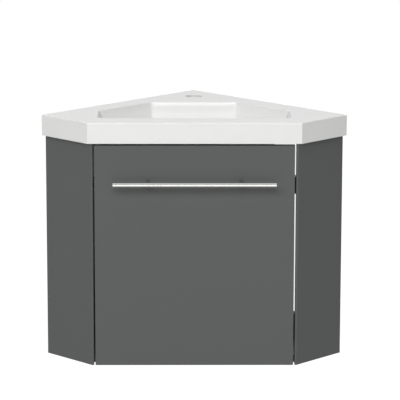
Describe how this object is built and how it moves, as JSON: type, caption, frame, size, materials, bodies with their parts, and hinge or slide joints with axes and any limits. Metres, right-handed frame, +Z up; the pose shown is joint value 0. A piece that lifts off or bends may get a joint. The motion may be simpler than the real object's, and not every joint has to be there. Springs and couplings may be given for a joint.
{
  "type": "wall-hung vanity unit",
  "caption": "Wall-hung corner vanity: five-sided cast basin with a tap hole, on a cabinet with angled side panels, one hinged flat door and a long bar handle.",
  "frame": {"origin": "the corner line of the room, level with the underside of the cabinet", "axes": "+X to the right along the door, -Y out of the corner towards the room, +Z up; the two walls run from the origin at 45 degrees to X"},
  "size_m": [0.6356, 0.445, 0.5155],
  "materials": {
    "cast_mineral": "cast mineral with a smooth white gel coat, satin to glossy",
    "anthracite_board": "chipboard faced with anthracite melamine, fine matt texture",
    "white_board": "chipboard faced with plain white melamine",
    "edge_band": "anthracite ABS edge band, matt",
    "polished_steel": "stainless steel bar, ground and finely polished",
    "nickel_steel": "nickel-plated pressed steel",
    "zinc_steel": "bright zinc-plated steel",
    "cast_zinc": "raw cast zinc",
    "beech": "fluted beech dowel",
    "clear_stop": "soft clear polyurethane"
  },
  "bodies": {
    "root": {"back_panel_left": "anthracite_board", "basin": "cast_mineral", "basin_brackets": "zinc_steel", "bottom_panel": "anthracite_board", "bottom_panel_edge_band": "edge_band", "bracket_screws": "zinc_steel", "cam_bolts": "zinc_steel", "cam_housings": "cast_zinc", "door_stops": "clear_stop", "dowels": "beech", "hanging_rail_left": "white_board", "hinge_arm_screws": "nickel_steel", "hinge_arms": "nickel_steel", "hinge_mounting_plates": "nickel_steel", "hinge_plate_screws": "nickel_steel", "rear_rail_lower": "anthracite_board", "rear_rail_upper": "anthracite_board", "side_panel_edge_bands": "edge_band", "side_panel_left": "anthracite_board", "side_panel_right": "anthracite_board"},
    "door": {"door_panel": "anthracite_board", "door_edge_bands": "edge_band", "handle_rod": "polished_steel", "handle_posts": "polished_steel", "handle_screws": "nickel_steel", "hinge_cups": "nickel_steel", "hinge_cup_screws": "nickel_steel", "hinge_pins": "nickel_steel"}
  },
  "joints": [
    {"name": "door_swing", "type": "hinge", "parent": "root", "child": "door", "pos_m": [-0.19835, -0.40119, 0.233], "axis": [0, 0, 1], "range_deg": [-100, 0]}
  ]
}
